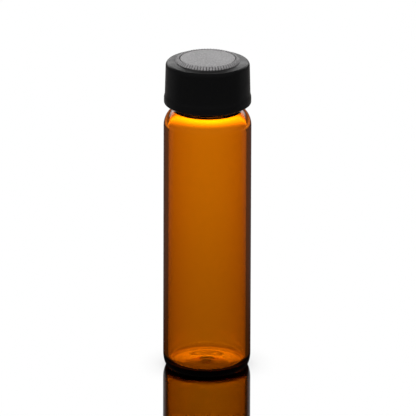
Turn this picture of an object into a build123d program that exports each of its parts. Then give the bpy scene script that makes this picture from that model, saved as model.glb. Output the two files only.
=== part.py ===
from build123d import *
import math
import os

# All sizes are in millimetres. The vial stands on the origin with its axis on +Z.

# Glass body, drawn from tube
BODY_DIAMETER = 17.0
VIAL_HEIGHT = 60.0
GLASS_WALL = 0.95
HEEL_WIDTH = 1.0
HEEL_HEIGHT = 2.7
REST_RING_WIDTH = 1.3
BASE_THICKNESS = 1.15
BASE_PUSH_UP = 0.45

# Shoulder and neck of the glass
SHOULDER_DROP = 11.0
SHOULDER_RADIUS = 4.0
NECK_FILLET = 0.8
RIM_ROUNDING = 0.35

# Screw finish, 15 mm nominal with twelve threads to the inch
THREAD_DIAMETER = 14.4
THREAD_DEPTH = 0.75
FINISH_WALL = 1.4
THREAD_PITCH = 25.4 / 12
THREAD_TURNS = 1.5
THREAD_DROP = 1.6
THREAD_ROOT_WIDTH = 1.2
THREAD_CREST_WIDTH = 0.5
THREAD_FADE_TURNS = 0.14

# Fits between cap, liner and glass
THREAD_CLEARANCE = 0.18
FLANK_CLEARANCE = 0.12
LINER_CLEARANCE = 0.38

# Liner disc
LINER_THICKNESS = 0.9

# Moulded screw cap
CAP_SKIRT = 6.5
CAP_WALL = 0.9
CAP_DRAFT = 0.14
CAP_BEAD = 0.17
CAP_BEAD_HEIGHT = 1.15
CAP_BEAD_BLEND = 1.05
CAP_EDGE = 0.4
CAP_MOUTH_CHAMFER = 0.25
CAP_INNER_FILLET = 0.25
CAP_THREAD_TURNS = 1.6
CAP_THREAD_ROOT_WIDTH = 1.0
CAP_THREAD_CREST_WIDTH = 0.4

# Crown of the cap: raised disc, groove, toothed ring, domed shoulder
CROWN_THICKNESS = 1.77
SHOULDER_STEP = 0.65
CROWN_DOME = 0.16
CROWN_CORNER_WIDTH = 0.6
CROWN_CORNER_HEIGHT = 0.75
CROWN_SHOULDER_WIDTH = 1.94
RING_WIDTH = 0.72
RING_CREST_WIDTH = 0.2
RING_DROP = 0.1
GROOVE_WIDTH = 0.16
GROOVE_DEPTH = 0.4
TOOTH_COUNT = 64
TOOTH_HEIGHT = 0.1

# How deep a ridge is sunk in the wall that carries it
BURY = 0.15

body_radius = BODY_DIAMETER / 2
thread_radius = THREAD_DIAMETER / 2
neck_radius = thread_radius - THREAD_DEPTH
bore_radius = neck_radius - FINISH_WALL
cap_bore_radius = thread_radius + THREAD_CLEARANCE
cap_thread_radius = neck_radius + THREAD_CLEARANCE
liner_radius = cap_bore_radius - LINER_CLEARANCE
cap_foot = VIAL_HEIGHT - CAP_SKIRT
cap_ceiling = VIAL_HEIGHT + LINER_THICKNESS
cap_top = cap_ceiling + CROWN_THICKNESS
crown_radius = cap_bore_radius + CAP_WALL - CAP_DRAFT


def ridge_rail(radii, heights, angles):
    """One long edge of a screw ridge, as a smooth curve through its stations."""
    points = []
    for radius, height, angle in zip(radii, heights, angles):
        points.append((radius * math.cos(angle), radius * math.sin(angle), height))
    return Edge.make_spline([Vector(*p) for p in points])


def screw_ridge(wall_radius, crest_radius, root_width, crest_width, turns, bottom):
    """A right-hand screw ridge whose two ends sink smoothly into the wall."""
    out = math.copysign(1, crest_radius - wall_radius)
    root_radius = wall_radius - out * BURY
    end_radius = wall_radius - out * BURY / 2
    count = round(turns * 16)
    angles = [2 * math.pi * turns * i / count for i in range(count + 1)]
    middle = [bottom + THREAD_PITCH * a / (2 * math.pi) for a in angles]
    crest = []
    for a in angles:
        along = a / (2 * math.pi)
        ramp = min(1, along / THREAD_FADE_TURNS, (turns - along) / THREAD_FADE_TURNS)
        ease = ramp * ramp * (3 - 2 * ramp)
        crest.append(end_radius + (crest_radius - end_radius) * ease)
    root = [root_radius] * len(angles)
    rails = [
        ridge_rail(root, [z - root_width / 2 for z in middle], angles),
        ridge_rail(crest, [z - crest_width / 2 for z in middle], angles),
        ridge_rail(crest, [z + crest_width / 2 for z in middle], angles),
        ridge_rail(root, [z + root_width / 2 for z in middle], angles),
    ]
    faces = []
    for i in range(4):
        faces.append(Face.make_surface_from_curves(rails[i], rails[(i + 1) % 4]))
    for end in (0, 1):
        corners = [rail @ end for rail in rails]
        faces.append(Face(Wire.make_polygon(corners, close=True)))
    ridge = Solid(Shell(faces))
    if ridge.volume < 0:
        ridge = Solid(Shell([-f for f in faces]))
    return ridge


def sloping_neck(wall, neck, radius, fillet, start):
    """Convex shoulder arc and the concave arc that turns it up into a neck."""
    centre = (wall - radius, start)
    reach = neck + fillet - centre[0]
    rise = math.sqrt((radius + fillet) ** 2 - reach**2)
    share = radius / (radius + fillet)
    join = (centre[0] + reach * share, start + rise * share)
    half = math.atan2(rise, reach) / 2
    bulge = (centre[0] + radius * math.cos(half), start + radius * math.sin(half))
    turn = math.pi - half
    hollow_centre = (neck + fillet, start + rise)
    hollow = (
        hollow_centre[0] + fillet * math.cos(math.pi + half),
        hollow_centre[1] + fillet * math.sin(math.pi + half),
    )
    ThreePointArc((wall, start), bulge, join)
    ThreePointArc(join, hollow, (neck, start + rise))
    return start + rise


def glass_outside():
    """Solid bounded by the outer skin of the vial, without its thread."""
    heel_in = body_radius - HEEL_WIDTH
    dome_edge = heel_in - REST_RING_WIDTH
    shoulder = VIAL_HEIGHT - SHOULDER_DROP
    with BuildPart() as outside:
        with BuildSketch(Plane.XZ):
            with BuildLine():
                Spline((0, BASE_PUSH_UP), (dome_edge, 0), tangents=[(1, 0), (1, 0)])
                Line((dome_edge, 0), (heel_in, 0))
                EllipticalCenterArc(
                    (heel_in, HEEL_HEIGHT), HEEL_WIDTH, HEEL_HEIGHT, -90, arc_size=90
                )
                Line((body_radius, HEEL_HEIGHT), (body_radius, shoulder))
                neck_foot = sloping_neck(
                    body_radius, neck_radius, SHOULDER_RADIUS, NECK_FILLET, shoulder
                )
                Line((neck_radius, neck_foot), (neck_radius, VIAL_HEIGHT - RIM_ROUNDING))
                RadiusArc(
                    (neck_radius, VIAL_HEIGHT - RIM_ROUNDING),
                    (neck_radius - RIM_ROUNDING, VIAL_HEIGHT),
                    -RIM_ROUNDING,
                )
                Line((neck_radius - RIM_ROUNDING, VIAL_HEIGHT), (0, VIAL_HEIGHT))
                Line((0, VIAL_HEIGHT), (0, BASE_PUSH_UP))
            make_face()
        revolve(axis=Axis.Z)
    return outside.part


def glass_inside():
    """The hollow of the vial, from its floor out through the mouth."""
    wall = body_radius - GLASS_WALL
    heel_in = body_radius - HEEL_WIDTH - GLASS_WALL
    heel_rise = HEEL_HEIGHT - BASE_THICKNESS
    dome_edge = heel_in - REST_RING_WIDTH
    floor = BASE_THICKNESS
    shoulder = VIAL_HEIGHT - SHOULDER_DROP
    lip = bore_radius + RIM_ROUNDING
    above = VIAL_HEIGHT + 1
    with BuildPart() as inside:
        with BuildSketch(Plane.XZ):
            with BuildLine():
                Spline(
                    (0, floor + BASE_PUSH_UP), (dome_edge, floor), tangents=[(1, 0), (1, 0)]
                )
                Line((dome_edge, floor), (heel_in, floor))
                EllipticalCenterArc(
                    (heel_in, floor + heel_rise), wall - heel_in, heel_rise, -90, arc_size=90
                )
                Line((wall, floor + heel_rise), (wall, shoulder))
                bore_foot = sloping_neck(
                    wall,
                    bore_radius,
                    SHOULDER_RADIUS - GLASS_WALL,
                    NECK_FILLET,
                    shoulder,
                )
                Line((bore_radius, bore_foot), (bore_radius, VIAL_HEIGHT - RIM_ROUNDING))
                RadiusArc(
                    (bore_radius, VIAL_HEIGHT - RIM_ROUNDING),
                    (lip, VIAL_HEIGHT),
                    RIM_ROUNDING,
                )
                Line((lip, VIAL_HEIGHT), (lip, above))
                Line((lip, above), (0, above))
                Line((0, above), (0, floor + BASE_PUSH_UP))
            make_face()
        revolve(axis=Axis.Z)
    return inside.part


def make_vial():
    """Amber glass vial: one blown wall with its moulded screw finish."""
    bottom = VIAL_HEIGHT - THREAD_DROP - THREAD_TURNS * THREAD_PITCH
    ridge = screw_ridge(
        neck_radius,
        thread_radius,
        THREAD_ROOT_WIDTH,
        THREAD_CREST_WIDTH,
        THREAD_TURNS,
        bottom,
    )
    return glass_outside() + ridge - glass_inside()


def cap_outside():
    """Solid bounded by the outer skin of the cap, crown and bead included."""
    side_foot = crown_radius + CAP_DRAFT
    bead = side_foot + CAP_BEAD
    bead_top = cap_foot + CAP_BEAD_HEIGHT
    step = cap_top - SHOULDER_STEP
    corner = crown_radius - CROWN_CORNER_WIDTH
    corner_top = step - CROWN_DOME
    ring_foot = crown_radius - CROWN_SHOULDER_WIDTH
    ring_crest = ring_foot - RING_WIDTH + RING_CREST_WIDTH
    ring_inner = ring_foot - RING_WIDTH
    disc = ring_inner - GROOVE_WIDTH
    groove = cap_top - GROOVE_DEPTH
    ring_top = cap_top - RING_DROP
    middle = (ring_foot + corner) / 2
    with BuildPart() as outside:
        with BuildSketch(Plane.XZ):
            with BuildLine():
                Polyline(
                    (0, cap_foot),
                    (bead - CAP_EDGE, cap_foot),
                )
                RadiusArc(
                    (bead - CAP_EDGE, cap_foot), (bead, cap_foot + CAP_EDGE), -CAP_EDGE
                )
                Line((bead, cap_foot + CAP_EDGE), (bead, bead_top))
                Spline(
                    (bead, bead_top),
                    (side_foot, bead_top + CAP_BEAD_BLEND),
                    tangents=[(0, 1), (0, 1)],
                )
                Line(
                    (side_foot, bead_top + CAP_BEAD_BLEND),
                    (crown_radius, corner_top - CROWN_CORNER_HEIGHT),
                )
                EllipticalCenterArc(
                    (corner, corner_top - CROWN_CORNER_HEIGHT),
                    CROWN_CORNER_WIDTH,
                    CROWN_CORNER_HEIGHT,
                    0,
                    arc_size=90,
                )
                ThreePointArc(
                    (corner, corner_top),
                    (middle, step - CROWN_DOME * 0.35),
                    (ring_foot, step),
                )
                Polyline(
                    (ring_foot, step),
                    (ring_crest, ring_top),
                    (ring_inner, ring_top),
                    (ring_inner, groove),
                    (disc, groove),
                    (disc, cap_top),
                    (0, cap_top),
                    (0, cap_foot),
                )
            make_face()
        revolve(axis=Axis.Z)
    return outside.part


def cap_inside():
    """The hollow of the cap, chamfered at its mouth."""
    wide = cap_bore_radius + CAP_MOUTH_CHAMFER
    below = cap_foot - 1
    with BuildPart() as inside:
        with BuildSketch(Plane.XZ):
            with BuildLine():
                Polyline(
                    (0, below),
                    (wide, below),
                    (wide, cap_foot),
                    (cap_bore_radius, cap_foot + CAP_MOUTH_CHAMFER),
                    (cap_bore_radius, cap_ceiling - CAP_INNER_FILLET),
                )
                RadiusArc(
                    (cap_bore_radius, cap_ceiling - CAP_INNER_FILLET),
                    (cap_bore_radius - CAP_INNER_FILLET, cap_ceiling),
                    -CAP_INNER_FILLET,
                )
                Polyline(
                    (cap_bore_radius - CAP_INNER_FILLET, cap_ceiling),
                    (0, cap_ceiling),
                    (0, below),
                )
            make_face()
        revolve(axis=Axis.Z)
    return inside.part


def ring_teeth():
    """Small radial teeth around the sloping flank of the crown's ring."""
    ring_foot = crown_radius - CROWN_SHOULDER_WIDTH
    ring_crest = ring_foot - RING_WIDTH + RING_CREST_WIDTH
    step = cap_top - SHOULDER_STEP
    ring_top = cap_top - RING_DROP
    pitch = 2 * math.pi * ring_foot / TOOTH_COUNT
    with BuildPart() as tooth:
        with BuildSketch(Plane.XZ):
            with BuildLine():
                Polyline(
                    (ring_crest - BURY, ring_top - BURY),
                    (ring_foot - BURY, step - BURY),
                    (ring_foot + TOOTH_HEIGHT, step - BURY / 4),
                    (ring_crest + TOOTH_HEIGHT / 2, ring_top),
                    (ring_crest - BURY, ring_top),
                    close=True,
                )
            make_face()
        extrude(amount=pitch * 0.25, both=True)
    teeth = []
    for i in range(TOOTH_COUNT):
        teeth.append(tooth.part.rotate(Axis.Z, 360 * i / TOOTH_COUNT))
    return teeth


def make_screw_cap():
    """Black moulded cap with its internal thread and toothed crown ring."""
    glass_bottom = VIAL_HEIGHT - THREAD_DROP - THREAD_TURNS * THREAD_PITCH
    # The cap's ridge bears from below on the glass ridge when the cap is tight.
    slope = (THREAD_ROOT_WIDTH - THREAD_CREST_WIDTH) / 2 / THREAD_DEPTH
    at_crest = THREAD_ROOT_WIDTH / 2 - slope * THREAD_CLEARANCE
    apart = at_crest + CAP_THREAD_CREST_WIDTH / 2 + FLANK_CLEARANCE
    ridge = screw_ridge(
        cap_bore_radius,
        cap_thread_radius,
        CAP_THREAD_ROOT_WIDTH,
        CAP_THREAD_CREST_WIDTH,
        CAP_THREAD_TURNS,
        glass_bottom - apart,
    )
    shell = cap_outside() - cap_inside() + ridge
    return shell.fuse(*ring_teeth())


def make_cap_liner():
    """Flat sealing disc that sits on the rim under the cap's ceiling."""
    with BuildPart() as liner:
        with BuildSketch(Plane.XY.offset(VIAL_HEIGHT)):
            Circle(liner_radius)
        extrude(amount=LINER_THICKNESS)
    return liner.part


os.makedirs("parts", exist_ok=True)
export_step(make_vial(), "parts/vial.step")
export_step(make_screw_cap(), "parts/screw_cap.step")
export_step(make_cap_liner(), "parts/cap_liner.step")
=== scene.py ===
"""Looks for a glass sample vial: amber glass, black screw cap and sealing liner.

It stands on a plain studio stage.
"""

import math

import bpy
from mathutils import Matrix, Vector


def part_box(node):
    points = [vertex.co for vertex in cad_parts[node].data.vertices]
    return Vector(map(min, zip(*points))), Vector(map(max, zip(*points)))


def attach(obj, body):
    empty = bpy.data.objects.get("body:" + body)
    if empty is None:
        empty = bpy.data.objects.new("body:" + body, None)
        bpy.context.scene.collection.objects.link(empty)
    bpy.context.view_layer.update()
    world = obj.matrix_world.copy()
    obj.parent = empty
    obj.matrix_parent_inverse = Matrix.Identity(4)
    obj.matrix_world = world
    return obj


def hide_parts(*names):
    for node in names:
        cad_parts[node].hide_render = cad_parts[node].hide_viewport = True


bl_info = {
    "name": "Glass sample vial",
    "version": (1, 0, 0),
    "blender": (4, 5, 0),
    "location": "3D View > Sidebar > Vial",
    "description": "Models the glass, cap and liner of a small sample vial and sets its stage",
    "category": "Object",
}

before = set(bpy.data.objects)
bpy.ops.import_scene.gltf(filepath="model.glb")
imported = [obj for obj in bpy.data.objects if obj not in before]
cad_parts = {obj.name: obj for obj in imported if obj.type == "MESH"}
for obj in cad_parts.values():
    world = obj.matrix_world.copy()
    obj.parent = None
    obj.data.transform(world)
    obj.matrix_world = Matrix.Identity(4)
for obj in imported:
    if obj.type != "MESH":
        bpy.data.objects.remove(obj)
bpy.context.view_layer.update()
GLASS_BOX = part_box("vial")
CAP_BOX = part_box("screw_cap")
LINER_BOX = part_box("cap_liner")

MM = 0.001
TURN = 2 * math.pi
VIAL_HEIGHT = GLASS_BOX[1].z
BODY_RADIUS = min(-GLASS_BOX[0].x, -GLASS_BOX[0].y, GLASS_BOX[1].x, GLASS_BOX[1].y)
CAP_BOTTOM = CAP_BOX[0].z
CAP_TOP = CAP_BOX[1].z
BEAD_RADIUS = CAP_BOX[1].x
LINER_RADIUS = LINER_BOX[1].x
LINER_TOP = LINER_BOX[1].z

# Screw thread: twelve turns to the inch
THREAD_PITCH = 25.4 / 12 * MM
GLASS_TURNS = 1.5
CAP_TURNS = 1.6
THREAD_FADE = 0.14
FLANK_GAP = 0.12 * MM

# Steps round the turned pieces
GLASS_STEPS = 192
STEPS_PER_TOOTH = 6
LINER_STEPS = 128

# Teeth: where a tooth's turn starts, the part of it that is raised, and the part that gets a
# painted highlight
TOOTH_START = 0.25
TOOTH_RAISED = 0.5
TOOTH_HIGHLIGHT = 0.67

# Width within which a place still counts as on a wall or an edge
NEAR_EDGE = 0.02 * MM
NEAR_NECK = 0.05 * MM
NEAR_RING = 0.03 * MM
SOFT_EDGE = 0.05 * MM
LINER_GAP = 0.01 * MM
SAME_POINT = 1e-7
SAME_VERTEX = 1e-6

# Painted shade at the root of the neck, under the cap's skirt, as a dark band in the glass
# colour:
# its lower end, then the heights above that at which it is full, starts to fade and has gone
NECK_ROOT = VIAL_HEIGHT - 7.83 * MM
ROOT_FULL = 0.15 * MM
ROOT_FADES = 1.4 * MM
ROOT_GONE = 2.2 * MM
ROOT_SHADE_COLOUR = (0.002, 0.0015, 0.001)

# Glass and plastic
GLASS_DENSITY = 4000.0
GLASS_INDEX = 1.51
PLASTIC_INDEX = 1.55
EVEN = (1.0, 1.0, 1.0)
WHITE = (1.0, 1.0, 1.0)
DRAW_LINES = (1.0, 1.0, 0.04)
CLOUD_SPREAD = (0.3, 0.7)
SHEEN_TINT = (1.0, 0.94, 0.88)
# Stipple colours: painted light, a pale grey standing in for light from above on the black
# cap's disc and ring; the mottle between the two is the pitted finish
STIPPLE_DARK = (0.36, 0.35, 0.355)
STIPPLE_PALE = (0.56, 0.548, 0.553)
LINER_SHADE = 0.93

# Stage
FLOOR_RADIUS = 6.0
FLOOR_CORNERS = 96
FLOOR_GREY = 0.8
FLOOR_WHITE = 0.93
FLOOR_GLOW_SHARE = 0.88
CONTACT_REACH = 9 * MM
SENSOR_WIDTH = 36.0
CLIP = (0.01, 50.0)
LAMP_SIZE = 0.5
LAMP_PLACE = (0.5, -0.25, 0.55)
LAMPS = (("softbox_left", -1, 1.1), ("softbox_right", 1, 0.7))

# Light that has passed fewer glass faces than this is cut to the share
DEEP_FACES = 2.5
SHALLOW_SHARE = 0.24

# Ramps: from, to, level at the start, level at the end. FLOOR goes by metres on the table,
# SKY by a direction's height or by its turn to the back.
FLOOR = {
    "contact": (0.0, 0.9, 0.55, 1.0),
    "grazing": (0.35, 0.55),
    # The under and near ramps and the far band paint light and shade on the table's glow seen
    # through the glass
    "under_back": (-0.002, 0.004, 0.38, 2.5),
    "under_dimple": (0.0006, 0.0022, 0.25, 1.0),
    "under_edge": (0.0078, 0.0092),
    "near": (0.01, 0.145, 0.91, 1.5),
    "far_start": (0.150, 0.208, 0.0, 9.5),
    "far_end": (0.25, 0.42, 1.0, 0.25),
    "reflected": (0.0, 0.05, 0.01, 0.07),
}
SKY = {
    "gloss_end": (0.36, 0.50, 1.0, 0.0),
    "gloss_back": (0.6, 0.9, 0.0, 1.0),
    "gloss_start": (0.12, 0.24, 0.0, 2.3),
    "band_start": (0.10, 0.15, 0.0, 6.0),
    "band_end": (0.30, 0.42, 1.0, 0.3),
    "horizon": (0.0, 0.08, 3.0, 0.0),
}
SKY_FLOOR = 0.03
SKY_EVEN = 0.45


def length(name, text, value):
    """A size in metres that shows in the sidebar."""
    return bpy.props.FloatProperty(
        name=name, description=text, default=value, min=0, unit="LENGTH", precision=5
    )


def share(name, text, value):
    """A plain number from 0 to 1."""
    return bpy.props.FloatProperty(
        name=name, description=text, default=value, min=0, max=1, subtype="FACTOR"
    )


def colour(name, text, value):
    """A colour without alpha."""
    return bpy.props.FloatVectorProperty(
        name=name, description=text, default=value, size=3, min=0, max=1, subtype="COLOR"
    )


class VialGlassSettings(bpy.types.PropertyGroup):
    """Sizes and colour of the amber glass."""

    wall: length("Wall", "Thickness of the drawn tube", 0.95 * MM)
    base: length("Base", "Thickness of the base", 1.15 * MM)
    push_up: length("Push-up", "Rise of the middle of the base", 0.45 * MM)
    pip: length("Pip", "Radius of the small dimple under the base", 1.5 * MM)
    pip_depth: length("Pip depth", "Depth of the dimple", 0.2 * MM)
    heel_width: length("Heel width", "Radial width of the heel curve", 1.0 * MM)
    heel_height: length("Heel height", "Height of the heel curve", 2.7 * MM)
    rest_ring: length("Rest ring", "Width of the flat ring it stands on", 1.3 * MM)
    shoulder_drop: length("Shoulder drop", "From the rim to the shoulder", 11.0 * MM)
    shoulder_radius: length("Shoulder radius", "Radius of the shoulder", 4.0 * MM)
    neck_fillet: length("Neck fillet", "Radius under the neck", 0.8 * MM)
    neck_radius: length("Neck radius", "Outer radius of the neck", 6.45 * MM)
    bore_radius: length("Bore radius", "Inner radius of the neck", 5.05 * MM)
    rim: length("Rim rounding", "Rounding of the fired rim", 0.35 * MM)
    thread_depth: length("Thread depth", "Height of the glass thread", 0.75 * MM)
    thread_drop: length("Thread drop", "From the rim to the thread", 1.6 * MM)
    thread_root: length("Thread foot", "Width of the thread at its foot", 1.2 * MM)
    thread_crest: length("Thread crest", "Width of the thread at its crest", 0.5 * MM)
    tint: colour("Tint", "Tint of each glass surface", (1.0, 0.81, 0.5))
    amber: colour("Amber", "Colour that the glass lets through", (0.875, 0.75, 0.10))


class VialCapSettings(bpy.types.PropertyGroup):
    """Sizes and colour of the moulded screw cap."""

    wall: length("Wall", "Thickness of the skirt", 0.9 * MM)
    bore: length("Bore", "Inner radius of the skirt", 7.38 * MM)
    draft: length("Draft", "Taper of the side wall", 0.14 * MM)
    bead_height: length("Bead", "Height of the bead at the foot", 1.15 * MM)
    bead_blend: length("Bead blend", "Height of the run-out above the bead", 1.05 * MM)
    edge: length("Edge", "Rounding of the lower edge", 0.4 * MM)
    chamfer: length("Mouth chamfer", "Chamfer inside the mouth", 0.25 * MM)
    shoulder_step: length("Shoulder step", "From the disc to the shoulder", 0.65 * MM)
    dome: length("Dome", "Fall of the shoulder to its corner", 0.16 * MM)
    corner_width: length("Corner width", "Width of the rounded corner", 0.6 * MM)
    corner_height: length("Corner height", "Height of the rounded corner", 0.75 * MM)
    shoulder: length("Shoulder", "Width of the smooth shoulder", 1.94 * MM)
    ring: length("Ring", "Width of the toothed ring", 0.68 * MM)
    ring_crest: length("Ring crest", "Width of the ring's flat crest", 0.2 * MM)
    ring_drop: length("Ring drop", "Drop of the ring below the disc", 0.1 * MM)
    groove: length("Groove", "Width of the groove round the disc", 0.2 * MM)
    groove_depth: length("Groove depth", "Depth of the groove", 0.4 * MM)
    disc_fall: length("Disc fall", "Fall of the disc from its middle to its edge", 0.12 * MM)
    tooth: length("Tooth", "Height of the ring's teeth", 0.1 * MM)
    teeth: bpy.props.IntProperty(
        name="Teeth", description="Number of teeth on the ring", default=64, min=8
    )
    thread_root: length("Thread foot", "Width of the thread at its foot", 1.0 * MM)
    thread_crest: length("Thread crest", "Width of the thread at its crest", 0.4 * MM)
    thread_depth: length("Thread depth", "Height of the cap's thread", 0.75 * MM)
    black: colour("Black", "Colour of the moulded plastic", (0.006, 0.006, 0.0065))


class VialLinerSettings(bpy.types.PropertyGroup):
    """Colour of the sealing disc."""

    edge: length("Edge", "Rounding of the punched edge", 0.06 * MM)
    face: colour("Face", "Colour of the sealing face", (0.78, 0.76, 0.70))


class VialStageSettings(bpy.types.PropertyGroup):
    """Camera, floor and light."""

    elevation: bpy.props.FloatProperty(
        name="Elevation",
        description="Angle of the camera above the horizon",
        default=math.radians(18.7),
        subtype="ANGLE",
    )
    roll: bpy.props.FloatProperty(
        name="Roll",
        description="Lean of the vial in the view",
        default=math.radians(0.19),
        subtype="ANGLE",
    )
    lens: bpy.props.FloatProperty(
        name="Lens", description="Focal length in millimetres", default=1000.0, min=1
    )
    view_width: length("View width", "Width seen at the vial", 80.64 * MM)
    aim_height: length("Aim height", "Height that the camera looks at", 32.03 * MM)
    aim_side: length("Aim side", "Sideways offset of the view", 0.145 * MM)
    mirror: share("Mirror", "Share of light that the glossy floor returns", 0.11)


# ---------------------------------------------------------------- node helpers


class Value:
    """A shader socket that takes part in ordinary arithmetic."""

    def __init__(self, graph, socket):
        self.graph = graph
        self.socket = socket

    def math(self, operation, other, flip=False):
        first, second = (other, self) if flip else (self, other)
        settings = {"operation": operation}
        return self.graph.add("ShaderNodeMath", settings, {0: first, 1: second})[0]

    def __add__(self, other):
        return self.math("ADD", other)

    __radd__ = __add__

    def __sub__(self, other):
        return self.math("SUBTRACT", other)

    def __rsub__(self, other):
        return self.math("SUBTRACT", other, flip=True)

    def __mul__(self, other):
        return self.math("MULTIPLY", other)

    __rmul__ = __mul__

    def above(self, other):
        """1 where the value is above the other, else 0."""
        return self.math("GREATER_THAN", other)


class Added:
    """A node just added; its outputs are read by name or number."""

    def __init__(self, graph, node):
        self.graph = graph
        self.node = node

    def __getitem__(self, key):
        return Value(self.graph, self.node.outputs[key])


class Graph:
    """A node tree that is filled one call at a time."""

    def __init__(self, tree):
        self.tree = tree
        tree.nodes.clear()

    def add(self, kind, settings=None, inputs=None):
        node = self.tree.nodes.new(kind)
        for key, value in (settings or {}).items():
            setattr(node, key, value)
        for key, value in (inputs or {}).items():
            socket = node.inputs[key]
            if isinstance(value, Value):
                self.tree.links.new(value.socket, socket)
            elif isinstance(value, Added):
                self.tree.links.new(value.node.outputs[0], socket)
            else:
                socket.default_value = value
        return Added(self, node)

    def mixed(self, share, first, second):
        """Two shaders mixed; a share of 1 is all of the second."""
        return self.add("ShaderNodeMixShader", None, {0: share, 1: first, 2: second})

    def grey(self, level):
        """A grey colour of that level."""
        return self.add("ShaderNodeCombineColor", None, {0: level, 1: level, 2: level})[0]

    def blended(self, share, first, second):
        """Two colours mixed; a share of 1 is all of the second."""
        colours = {"Factor": share, 6: rgba(first), 7: rgba(second)}
        return self.add("ShaderNodeMix", {"data_type": "RGBA"}, colours)[2]

    def glow(self, strength):
        """White light of that strength."""
        inputs = {"Color": rgba(WHITE), "Strength": strength}
        return self.add("ShaderNodeEmission", None, inputs)

    def ramp(self, value, low, high, start=0.0, end=1.0):
        """The value's way from low to high, eased to start to end."""
        return self.add(
            "ShaderNodeMapRange",
            {"interpolation_type": "SMOOTHSTEP"},
            {"Value": value, "From Min": low, "From Max": high, "To Min": start, "To Max": end},
        )[0]

    def depth_share(self, path):
        """The share of light that is left after few or many glass faces."""
        deep = path["Transmission Depth"].above(DEEP_FACES)
        return self.ramp(deep, 0.0, 1.0, SHALLOW_SHARE, 1.0)


def new_material(name):
    """An empty material and its graph."""
    material = bpy.data.materials.new(name)
    material.use_nodes = True
    return material, Graph(material.node_tree)


def object_coordinates(graph, scale=EVEN):
    """Places on the piece, stretched along its axes by the scale."""
    place = graph.add("ShaderNodeTexCoord")["Object"]
    return graph.add("ShaderNodeMapping", None, {"Vector": place, "Scale": scale})[0]


def noise(graph, vector, scale, detail=2.0, roughness=0.5):
    return graph.add(
        "ShaderNodeTexNoise",
        None,
        {"Vector": vector, "Scale": scale, "Detail": detail, "Roughness": roughness},
    )["Fac"]


def bump(graph, height, strength, distance):
    return graph.add(
        "ShaderNodeBump",
        None,
        {"Height": height, "Strength": strength, "Distance": distance},
    )["Normal"]


def rgba(values):
    """A colour with full alpha."""
    return (*values, 1.0)


def principled(graph, inputs, volume=None):
    """The surface and the output of a material, with its volume if it has one."""
    outputs = {"Surface": graph.add("ShaderNodeBsdfPrincipled", None, inputs)}
    if volume is not None:
        outputs["Volume"] = volume
    graph.add("ShaderNodeOutputMaterial", None, outputs)


# ---------------------------------------------------------------- materials


def amber_glass_material(settings):
    """Amber glass with faint draw lines along the tube and a dark band of painted shade at the
    neck's root, under the cap.
    """
    material, graph = new_material("amber_glass")
    lines = noise(graph, object_coordinates(graph, DRAW_LINES), 900.0)
    place = graph.add("ShaderNodeTexCoord")["Object"]
    height = graph.add("ShaderNodeSeparateXYZ", None, {0: place})["Z"]
    # Painted shade: the glass colour goes almost black in a band at the neck's root, where the
    # cap's skirt shades it
    root = graph.ramp(height, NECK_ROOT, NECK_ROOT + ROOT_FULL)
    root = root * graph.ramp(height, NECK_ROOT + ROOT_FADES, NECK_ROOT + ROOT_GONE, 1.0, 0.0)
    body = graph.add(
        "ShaderNodeVolumeAbsorption",
        None,
        {"Color": rgba(settings.amber), "Density": GLASS_DENSITY},
    )
    principled(
        graph,
        {
            "Base Color": graph.blended(root, settings.tint, ROOT_SHADE_COLOUR),
            "Roughness": 0.015,
            "IOR": GLASS_INDEX,
            "Transmission Weight": 1.0,
            "Normal": bump(graph, lines, 0.03, 0.02 * MM),
        },
        body,
    )
    return material


def black_plastic_material(settings):
    """Moulded black plastic with a satin gloss and a fine grain."""
    material, graph = new_material("black_phenolic")
    place = object_coordinates(graph)
    grain = noise(graph, place, 5200.0, 3.0)
    cloud = noise(graph, place, 420.0)
    principled(
        graph,
        {
            "Base Color": rgba(settings.black),
            "Roughness": graph.ramp(cloud, *CLOUD_SPREAD, 0.33, 0.41),
            "IOR": PLASTIC_INDEX,
            "Sheen Weight": 0.35,
            "Sheen Roughness": 0.25,
            "Sheen Tint": rgba(SHEEN_TINT),
            "Normal": bump(graph, grain, 0.10, 0.015 * MM),
        },
    )
    return material


def stippled_plastic_material():
    """The finely pitted disc and ring on top of the cap, painted pale grey for the light that
    falls on them from above; the pits and mottle are the moulded finish.
    """
    material, graph = new_material("stippled_phenolic_lit")
    place = object_coordinates(graph)
    pits = graph.add(
        "ShaderNodeTexVoronoi", {"feature": "SMOOTH_F1"}, {"Vector": place, "Scale": 3600.0}
    )["Distance"]
    grain = noise(graph, place, 7000.0, 3.0)
    cloud = noise(graph, place, 500.0)
    mottle = graph.ramp(pits + grain * 0.5, 0.4, 1.0)
    principled(
        graph,
        {
            "Base Color": graph.blended(mottle, STIPPLE_DARK, STIPPLE_PALE),
            "Roughness": graph.ramp(cloud, *CLOUD_SPREAD, 0.42, 0.5),
            "IOR": PLASTIC_INDEX,
            "Normal": bump(graph, pits + grain * 0.6, 0.35, 0.04 * MM),
        },
    )
    return material


def liner_material(settings):
    """Off-white sealing face with a soft, slightly fibrous grain."""
    material, graph = new_material("liner_white")
    place = object_coordinates(graph)
    fibre = noise(graph, place, 2600.0, 4.0, 0.6)
    cloud = noise(graph, place, 300.0)
    shaded = [LINER_SHADE * c for c in settings.face]
    principled(
        graph,
        {
            "Base Color": graph.blended(fibre, shaded, settings.face),
            "Roughness": graph.ramp(cloud, *CLOUD_SPREAD, 0.45, 0.6),
            "Normal": bump(graph, fibre, 0.15, 0.02 * MM),
        },
    )
    return material


# ---------------------------------------------------------------- profiles and turning


def arc(centre, wide, high, start, end, count):
    """Points (radius, height) along an elliptical arc; angles in degrees."""
    points = []
    for i in range(count + 1):
        a = math.radians(start + (end - start) * i / count)
        points.append((centre[0] + wide * math.cos(a), centre[1] + high * math.sin(a)))
    return points


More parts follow.
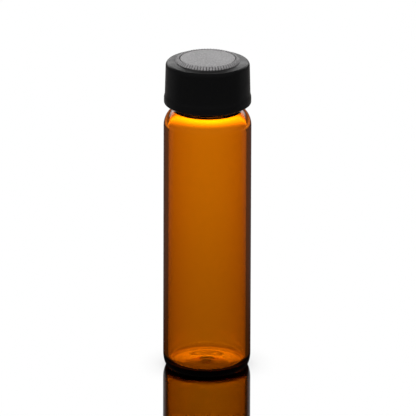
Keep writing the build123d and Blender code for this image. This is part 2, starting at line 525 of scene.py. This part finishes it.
def straight(start, end, count):
    """Points evenly along a straight stretch of the outline."""
    points = []
    for i in range(count + 1):
        t = i / count
        points.append(tuple(a + (b - a) * t for a, b in zip(start, end)))
    return points


def smooth(t):
    """0 to 1 with a soft start and end."""
    return t * t * (3 - 2 * t)


def eased(start, end, count):
    """An S-shaped rise from one level stretch to another."""
    wide, high = end[0] - start[0], end[1] - start[1]
    points = []
    for i in range(count + 1):
        t = i / count
        points.append((start[0] + wide * t, start[1] + high * smooth(t)))
    return points


def neck_turn(wall, neck, radius, fillet, start, count):
    """The convex shoulder arc and the concave arc up into the neck."""
    centre = wall - radius
    reach = neck + fillet - centre
    rise = math.sqrt((radius + fillet) ** 2 - reach**2)
    lean = math.degrees(math.atan2(rise, reach))
    points = arc((centre, start), radius, radius, 0, lean, count)
    points += arc((neck + fillet, start + rise), fillet, fillet, 180 + lean, 180, count // 2)
    return points


def clean(points):
    """The outline without points that repeat."""
    kept = [points[0]]
    for p in points[1:]:
        if math.dist(p, kept[-1]) > SAME_POINT:
            kept.append(p)
    return kept


def deselect_all():
    bpy.ops.object.select_all(action="DESELECT")


def select_only(piece, *others):
    """Selects these pieces alone; the first is the active one."""
    deselect_all()
    for each in (piece, *others):
        each.select_set(True)
    bpy.context.view_layer.objects.active = piece


def close_seams():
    """In edit mode: merges doubled vertices, turns the faces outwards and leaves."""
    bpy.ops.mesh.select_all(action="SELECT")
    bpy.ops.mesh.remove_doubles(threshold=SAME_VERTEX)
    bpy.ops.mesh.normals_make_consistent(inside=False)
    bpy.ops.object.mode_set(mode="OBJECT")


def turned(name, outline, steps):
    """A solid of revolution: one vertex is extruded along the outline, then spun."""
    deselect_all()
    outline = clean(outline)
    first = (outline[0][0], 0, outline[0][1])
    bpy.ops.mesh.primitive_circle_add(vertices=3, radius=MM, location=(0, 0, 0))
    piece = bpy.context.object
    piece.name = piece.data.name = name
    bpy.ops.object.mode_set(mode="EDIT")
    bpy.ops.mesh.select_all(action="SELECT")
    bpy.ops.mesh.merge(type="CENTER")
    bpy.ops.transform.translate(value=first)
    for a, b in zip(outline, outline[1:]):
        bpy.ops.mesh.extrude_region_move(
            TRANSFORM_OT_translate={"value": (b[0] - a[0], 0, b[1] - a[1])}
        )
    bpy.ops.mesh.select_all(action="SELECT")
    bpy.ops.mesh.spin(steps=steps, angle=TURN, center=(0, 0, 0), axis=(0, 0, 1))
    close_seams()
    bpy.ops.object.shade_smooth()
    return piece


def raised(piece, group_name, height, weight):
    """Pushes the surface out along its normals, by a weight found from each place."""
    group = piece.vertex_groups.new(name=group_name)
    for vertex in piece.data.vertices:
        amount = weight(vertex.co)
        if amount > 0:
            group.add([vertex.index], amount, "REPLACE")
    select_only(piece)
    modifier = piece.modifiers.new(group_name, "DISPLACE")
    modifier.vertex_group = group_name
    modifier.mid_level = 0
    modifier.strength = height
    bpy.ops.object.modifier_apply(modifier=group_name)
    piece.vertex_groups.remove(piece.vertex_groups[group_name])


def tooth_phase(place, teeth):
    """How far round its own tooth a place is, from 0 to 1."""
    return (math.atan2(place.y, place.x) / (TURN / teeth) + TOOTH_START) % 1.0


def screw_weight(bottom, turns, root, crest):
    """Weight of a right-hand thread: 1 on its crest, 0 off it, fading at both ends."""

    def weight(place):
        angle = (math.atan2(place.y, place.x) % TURN) / TURN
        best = 0.0
        for lap in range(int(turns) + 2):
            along = angle + lap
            if along > turns:
                break
            off = abs(place.z - bottom - THREAD_PITCH * along)
            ridge = min(1.0, max(0.0, (root / 2 - off) / (root / 2 - crest / 2)))
            end = max(0.0, min(1.0, along / THREAD_FADE, (turns - along) / THREAD_FADE))
            best = max(best, smooth(ridge) * smooth(end))
        return best

    return weight


def finish_piece(piece, body, node, materials):
    """Material, body and the CAD node that the piece stands for."""
    for material in materials:
        piece.data.materials.append(material)
    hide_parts(node)
    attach(piece, body)


# ---------------------------------------------------------------- operators


class VIAL_OT_glass(bpy.types.Operator):
    """Model the amber glass vial with its heel, shoulder, rim and screw thread"""

    bl_idname = "vial.glass"
    bl_label = "Glass vial"

    def execute(self, context):
        s = context.scene.vial_glass
        outer_in = BODY_RADIUS - s.heel_width
        outer_flat = outer_in - s.rest_ring
        inner_wall = BODY_RADIUS - s.wall
        inner_in = inner_wall - s.heel_width
        inner_flat = inner_in - s.rest_ring
        inner_heel = s.heel_height - s.base
        shoulder = VIAL_HEIGHT - s.shoulder_drop
        dome = eased((0, s.push_up), (outer_flat, 0), 48)
        outside = [
            (r, z + s.pip_depth * (1 + math.cos(min(r / s.pip, 1.0) * math.pi)) / 2)
            for r, z in dome
        ]
        outside += straight((outer_flat, 0), (outer_in, 0), 4)
        outside += arc((outer_in, s.heel_height), s.heel_width, s.heel_height, -90, 0, 24)
        outside += straight((BODY_RADIUS, s.heel_height), (BODY_RADIUS, shoulder), 12)
        outside += neck_turn(
            BODY_RADIUS, s.neck_radius, s.shoulder_radius, s.neck_fillet, shoulder, 24
        )
        neck_foot = outside[-1]
        outside += straight(neck_foot, (s.neck_radius, VIAL_HEIGHT - s.rim), 84)
        rim = arc((s.neck_radius - s.rim, VIAL_HEIGHT - s.rim), s.rim, s.rim, 0, 90, 8)
        rim += arc((s.bore_radius + s.rim, VIAL_HEIGHT - s.rim), s.rim, s.rim, 90, 180, 8)
        inside = neck_turn(
            inner_wall,
            s.bore_radius,
            s.shoulder_radius - s.wall,
            s.neck_fillet,
            shoulder,
            24,
        )
        inside.reverse()
        inside += straight((inner_wall, shoulder), (inner_wall, s.base + inner_heel), 12)
        inside += arc(
            (inner_in, s.base + inner_heel), s.heel_width, inner_heel, 0, -90, 24
        )
        inside += straight((inner_in, s.base), (inner_flat, s.base), 4)
        inside += eased((inner_flat, s.base), (0, s.base + s.push_up), 24)
        piece = turned("glass_vial", outside + rim + inside, GLASS_STEPS)
        bottom = VIAL_HEIGHT - s.thread_drop - GLASS_TURNS * THREAD_PITCH
        ridge = screw_weight(bottom, GLASS_TURNS, s.thread_root, s.thread_crest)
        near = s.neck_radius - NEAR_NECK

        def weight(place):
            return ridge(place) if math.hypot(place.x, place.y) > near else 0.0

        raised(piece, "thread", s.thread_depth, weight)
        finish_piece(piece, "glass", "vial", [amber_glass_material(s)])
        return {"FINISHED"}


class VIAL_OT_cap(bpy.types.Operator):
    """Model the moulded screw cap with its toothed ring, disc, bead and inner thread"""

    bl_idname = "vial.cap"
    bl_label = "Screw cap"

    def execute(self, context):
        s = context.scene.vial_cap
        side_foot = s.bore + s.wall
        crown = side_foot - s.draft
        bead_top = CAP_BOTTOM + s.bead_height
        side_top = CAP_TOP - s.shoulder_step - s.dome - s.corner_height
        corner = (crown - s.corner_width, side_top)
        step = CAP_TOP - s.shoulder_step
        ring_foot = crown - s.shoulder
        ring_crest = ring_foot - s.ring + s.ring_crest
        ring_inner = ring_foot - s.ring
        disc = ring_inner - s.groove
        low = CAP_TOP - s.groove_depth
        ring_top = CAP_TOP - s.ring_drop
        soft = SOFT_EDGE
        mouth = (s.bore + s.chamfer, CAP_BOTTOM)
        skirt = straight(mouth, (BEAD_RADIUS - s.edge, CAP_BOTTOM), 2)
        skirt += arc((BEAD_RADIUS - s.edge, CAP_BOTTOM + s.edge), s.edge, s.edge, -90, 0, 10)
        blend = eased((bead_top, BEAD_RADIUS), (bead_top + s.bead_blend, side_foot), 12)
        skirt += [(r, z) for z, r in blend]
        skirt += straight((side_foot, bead_top + s.bead_blend), (crown, side_top), 8)
        skirt += arc(corner, s.corner_width, s.corner_height, 0, 90, 14)
        fall = [
            (corner[0], step - s.dome),
            ((ring_foot + corner[0]) / 2, step - 0.35 * s.dome),
            (ring_foot, step),
        ]
        skirt += straight(fall[0], fall[1], 4) + straight(fall[1], fall[2], 4)
        ring = straight((ring_foot, step), (ring_crest, ring_top), 6)
        ring += straight((ring_crest, ring_top), (ring_inner + soft, ring_top), 2)
        ring += arc((ring_inner + soft, ring_top - soft), soft, soft, 90, 180, 3)
        ring += [(ring_inner, low), (disc, low)]
        edge = CAP_TOP - s.disc_fall
        top = arc((disc - soft, edge - soft), soft, soft, 0, 90, 4)
        top += [
            (r, CAP_TOP - s.disc_fall * (r / disc) ** 2)
            for r, z in straight((disc - 2 * soft, 0), (0, 0), 12)
        ]
        ceiling = LINER_TOP
        hollow = [(0, ceiling), (s.bore - s.chamfer, ceiling)]
        hollow += arc((s.bore - s.chamfer, ceiling - s.chamfer), s.chamfer, s.chamfer, 90, 0, 5)
        hollow += straight(
            (s.bore, ceiling - s.chamfer), (s.bore, CAP_BOTTOM + s.chamfer), 90
        )
        hollow += [mouth]
        steps = s.teeth * STEPS_PER_TOOTH
        piece = turned("screw_cap_shell", skirt + ring + top, steps)
        inner = turned("screw_cap_hollow", hollow, steps)
        select_only(piece, inner)
        bpy.ops.object.join()
        bpy.ops.object.mode_set(mode="EDIT")
        close_seams()

        def tooth(place):
            radius = math.hypot(place.x, place.y)
            on_ring = ring_inner + NEAR_RING < radius < ring_foot - soft
            on_tooth = tooth_phase(place, s.teeth) < TOOTH_RAISED
            return 1.0 if on_ring and place.z > step + soft and on_tooth else 0.0

        raised(piece, "teeth", s.tooth, tooth)
        glass = context.scene.vial_glass
        glass_bottom = VIAL_HEIGHT - glass.thread_drop - GLASS_TURNS * THREAD_PITCH
        clearance = s.bore - glass.neck_radius - glass.thread_depth
        slope = (glass.thread_root - glass.thread_crest) / 2 / glass.thread_depth
        apart = glass.thread_root / 2 - slope * clearance + s.thread_crest / 2 + FLANK_GAP
        ridge = screw_weight(glass_bottom - apart, CAP_TURNS, s.thread_root, s.thread_crest)

        def thread(place):
            on_bore = abs(math.hypot(place.x, place.y) - s.bore) < NEAR_EDGE
            return ridge(place) if on_bore else 0.0

        raised(piece, "thread", s.thread_depth, thread)
        select_only(piece)
        bpy.ops.object.shade_smooth_by_angle(angle=math.radians(35))
        finish_piece(
            piece,
            "cap",
            "screw_cap",
            [black_plastic_material(s), stippled_plastic_material()],
        )
        # Painted light: the disc, the ring's crest and part of each tooth take the pale
        # stippled material, for light falling from above; the groove stays black
        for face in piece.data.polygons:
            centre = face.center
            radius = math.hypot(centre.x, centre.y)
            in_groove = disc - NEAR_EDGE < radius < ring_inner - NEAR_EDGE
            pale = radius < ring_crest or tooth_phase(centre, s.teeth) < TOOTH_HIGHLIGHT
            if centre.z > step + soft and pale and not in_groove:
                face.material_index = 1
        return {"FINISHED"}


class VIAL_OT_liner(bpy.types.Operator):
    """Model the sealing disc that lies on the rim under the cap's ceiling"""

    bl_idname = "vial.liner"
    bl_label = "Cap liner"

    def execute(self, context):
        s = context.scene.vial_liner
        low = LINER_BOX[0].z + LINER_GAP
        high = LINER_TOP - LINER_GAP
        outline = straight((0, low), (LINER_RADIUS - s.edge, low), 6)
        outline += arc((LINER_RADIUS - s.edge, low + s.edge), s.edge, s.edge, -90, 0, 4)
        outline += arc((LINER_RADIUS - s.edge, high - s.edge), s.edge, s.edge, 0, 90, 4)
        outline += straight((LINER_RADIUS - s.edge, high), (0, high), 6)
        piece = turned("sealing_liner", outline, LINER_STEPS)
        finish_piece(piece, "liner", "cap_liner", [liner_material(s)])
        return {"FINISHED"}


class VIAL_OT_stage(bpy.types.Operator):
    """Set the floor, the light and the camera"""

    bl_idname = "vial.stage"
    bl_label = "Stage"

    def execute(self, context):
        s = context.scene.vial_stage
        add_floor(s)
        set_world(context.scene, s)
        add_lamps()
        add_camera(context.scene, s)
        context.scene.view_settings.view_transform = "Standard"
        return {"FINISHED"}


def add_floor(settings):
    """A pale glossy table top, wide enough for every view, with a painted contact shadow where
    the vial stands.
    """
    deselect_all()
    bpy.ops.mesh.primitive_circle_add(
        vertices=FLOOR_CORNERS, radius=FLOOR_RADIUS, fill_type="NGON", location=(0, 0, 0)
    )
    floor = bpy.context.object
    floor.name = floor.data.name = "floor"
    material, graph = new_material("floor_gloss")
    path = graph.add("ShaderNodeLightPath")
    facing = graph.add("ShaderNodeLayerWeight", None, {"Blend": 0.5})["Facing"]
    place = graph.add("ShaderNodeTexCoord")["Object"]
    away = graph.add("ShaderNodeVectorMath", {"operation": "LENGTH"}, {0: place})["Value"]
    behind = graph.add("ShaderNodeSeparateXYZ", None, {0: place})["Y"]
    # Painted contact shadow: an occlusion share darkens the table's white glow and its mirror
    # image round the vial's foot
    contact_shadow = graph.add(
        "ShaderNodeAmbientOcclusion", {"samples": 8}, {"Distance": CONTACT_REACH}
    )["AO"]
    contact_shadow = graph.ramp(contact_shadow, *FLOOR["contact"])

    # What the camera sees: white table top with a mirror image in it
    mirror = graph.add(
        "ShaderNodeBsdfAnisotropic",
        {"distribution": "GGX"},
        {"Color": graph.grey(contact_shadow * settings.mirror), "Roughness": 0.0},
    )
    pale = graph.add("ShaderNodeBsdfDiffuse", None, {"Color": rgba([FLOOR_GREY] * 3)})
    plain = graph.mixed(FLOOR_GLOW_SHARE, pale, graph.glow(contact_shadow * FLOOR_WHITE))
    seen = graph.mixed(graph.ramp(facing, *FLOOR["grazing"]), plain, mirror)

    # Painted light and shade that the table gives off, seen only through the glass: brighter
    # behind the vial and in a far band, darker round its foot and under its dimple
    middle = graph.ramp(behind, *FLOOR["under_back"]) * graph.ramp(away, *FLOOR["under_dimple"])
    under = middle + (1.0 - middle) * graph.ramp(away, *FLOOR["under_edge"])
    near = graph.ramp(away, *FLOOR["near"]) * under
    far = graph.ramp(away, *FLOOR["far_start"]) * graph.ramp(away, *FLOOR["far_end"])
    through = graph.glow((near + far) * graph.depth_share(path))

    # Painted reflection: the table glows faintly for reflected rays, a little more behind the
    # vial
    sheen = graph.glow(graph.ramp(behind, *FLOOR["reflected"]))
    unseen = graph.mixed(path["Is Glossy Ray"], pale, sheen)
    unseen = graph.mixed(path["Is Transmission Ray"], unseen, through)
    surface = graph.mixed(path["Is Camera Ray"], unseen, seen)
    graph.add("ShaderNodeOutputMaterial", None, {"Surface": surface})
    floor.data.materials.append(material)


def set_world(scene, settings):
    """White to the camera and in the table's gloss, and a lit backdrop for cap and glass."""
    world = bpy.data.worlds.new("studio")
    world.use_nodes = True
    scene.world = world
    graph = Graph(world.node_tree)
    path = graph.add("ShaderNodeLightPath")
    place = graph.add("ShaderNodeTexCoord")["Generated"]
    axes = graph.add("ShaderNodeSeparateXYZ", None, {0: place})
    height, behind = axes["Z"], axes["Y"]

    # The table's own mirror image comes back as white
    table = path["Is Singular Ray"] * (1.0 - path["Glossy Depth"].above(1.5))
    table = table * (1.0 - path["Transmission Depth"].above(0.5))
    back = graph.ramp(height, *SKY["gloss_end"]) * graph.ramp(behind, *SKY["gloss_back"])
    gloss = SKY_FLOOR + back * graph.ramp(height, *SKY["gloss_start"])
    gloss = gloss + table * (1.0 / settings.mirror - gloss)

    # What shows through the glass: a bright band over the horizon
    band = graph.ramp(height, *SKY["band_start"]) * graph.ramp(height, *SKY["band_end"])
    band = band + graph.ramp(height, *SKY["horizon"])
    through = (SKY_FLOOR + band) * graph.depth_share(path)
    level = SKY_EVEN + path["Is Glossy Ray"] * (gloss - SKY_EVEN)
    level = level + path["Is Transmission Ray"] * (through - level)
    level = level + path["Is Camera Ray"] * (1.0 - level)
    light = graph.add(
        "ShaderNodeBackground", None, {"Color": rgba(WHITE), "Strength": level}
    )
    graph.add("ShaderNodeOutputWorld", None, {"Surface": light})


def add_lamps():
    """Two large soft boxes, high on the left and on the right."""
    for name, side, power in LAMPS:
        lamp = bpy.data.lights.new(name, "AREA")
        lamp.shape = "RECTANGLE"
        lamp.size = lamp.size_y = LAMP_SIZE
        lamp.energy = power
        holder = bpy.data.objects.new(name, lamp)
        holder.visible_glossy = False
        holder.visible_transmission = False
        bpy.context.scene.collection.objects.link(holder)
        holder.location = (side * LAMP_PLACE[0], *LAMP_PLACE[1:])
        direction = holder.location.copy()
        direction.negate()
        holder.rotation_euler = direction.to_track_quat("-Z", "Y").to_euler()


def add_camera(scene, s):
    """A long lens a little above the cap, looking along +Y."""
    data = bpy.data.cameras.new("camera")
    camera = bpy.data.objects.new("camera", data)
    scene.collection.objects.link(camera)
    data.lens = s.lens
    data.sensor_width = SENSOR_WIDTH
    away = s.lens * s.view_width / data.sensor_width
    data.clip_start, data.clip_end = CLIP
    back = (0.0, -math.cos(s.elevation), math.sin(s.elevation))
    aim = (s.aim_side, 0.0, s.aim_height)
    camera.location = [a + away * b for a, b in zip(aim, back)]
    camera.rotation_euler = (math.pi / 2 - s.elevation, 0.0, 0.0)
    camera.rotation_euler.rotate_axis("Z", s.roll)
    scene.camera = camera


class VIAL_PT_panel(bpy.types.Panel):
    """The vial's pieces and their settings"""

    bl_idname = "VIAL_PT_panel"
    bl_label = "Glass sample vial"
    bl_space_type = "VIEW_3D"
    bl_region_type = "UI"
    bl_category = "Vial"

    def draw(self, context):
        for group, operator in STEPS:
            box = self.layout.box()
            box.operator(operator)
            settings = getattr(context.scene, group)
            for name in settings.bl_rna.properties.keys():
                if name not in ("rna_type", "name"):
                    box.prop(settings, name)


STEPS = (
    ("vial_glass", "vial.glass"),
    ("vial_cap", "vial.cap"),
    ("vial_liner", "vial.liner"),
    ("vial_stage", "vial.stage"),
)
GROUPS = {
    "vial_glass": VialGlassSettings,
    "vial_cap": VialCapSettings,
    "vial_liner": VialLinerSettings,
    "vial_stage": VialStageSettings,
}
CLASSES = (
    *GROUPS.values(),
    VIAL_OT_glass,
    VIAL_OT_cap,
    VIAL_OT_liner,
    VIAL_OT_stage,
    VIAL_PT_panel,
)


def register():
    for cls in CLASSES:
        bpy.utils.register_class(cls)
    for name, group in GROUPS.items():
        setattr(bpy.types.Scene, name, bpy.props.PointerProperty(type=group))


def unregister():
    for name in GROUPS:
        delattr(bpy.types.Scene, name)
    for cls in reversed(CLASSES):
        bpy.utils.unregister_class(cls)


def main():
    register()
    bpy.ops.vial.glass()
    bpy.ops.vial.cap()
    bpy.ops.vial.liner()
    bpy.ops.vial.stage()


if __name__ == "__main__":
    main()
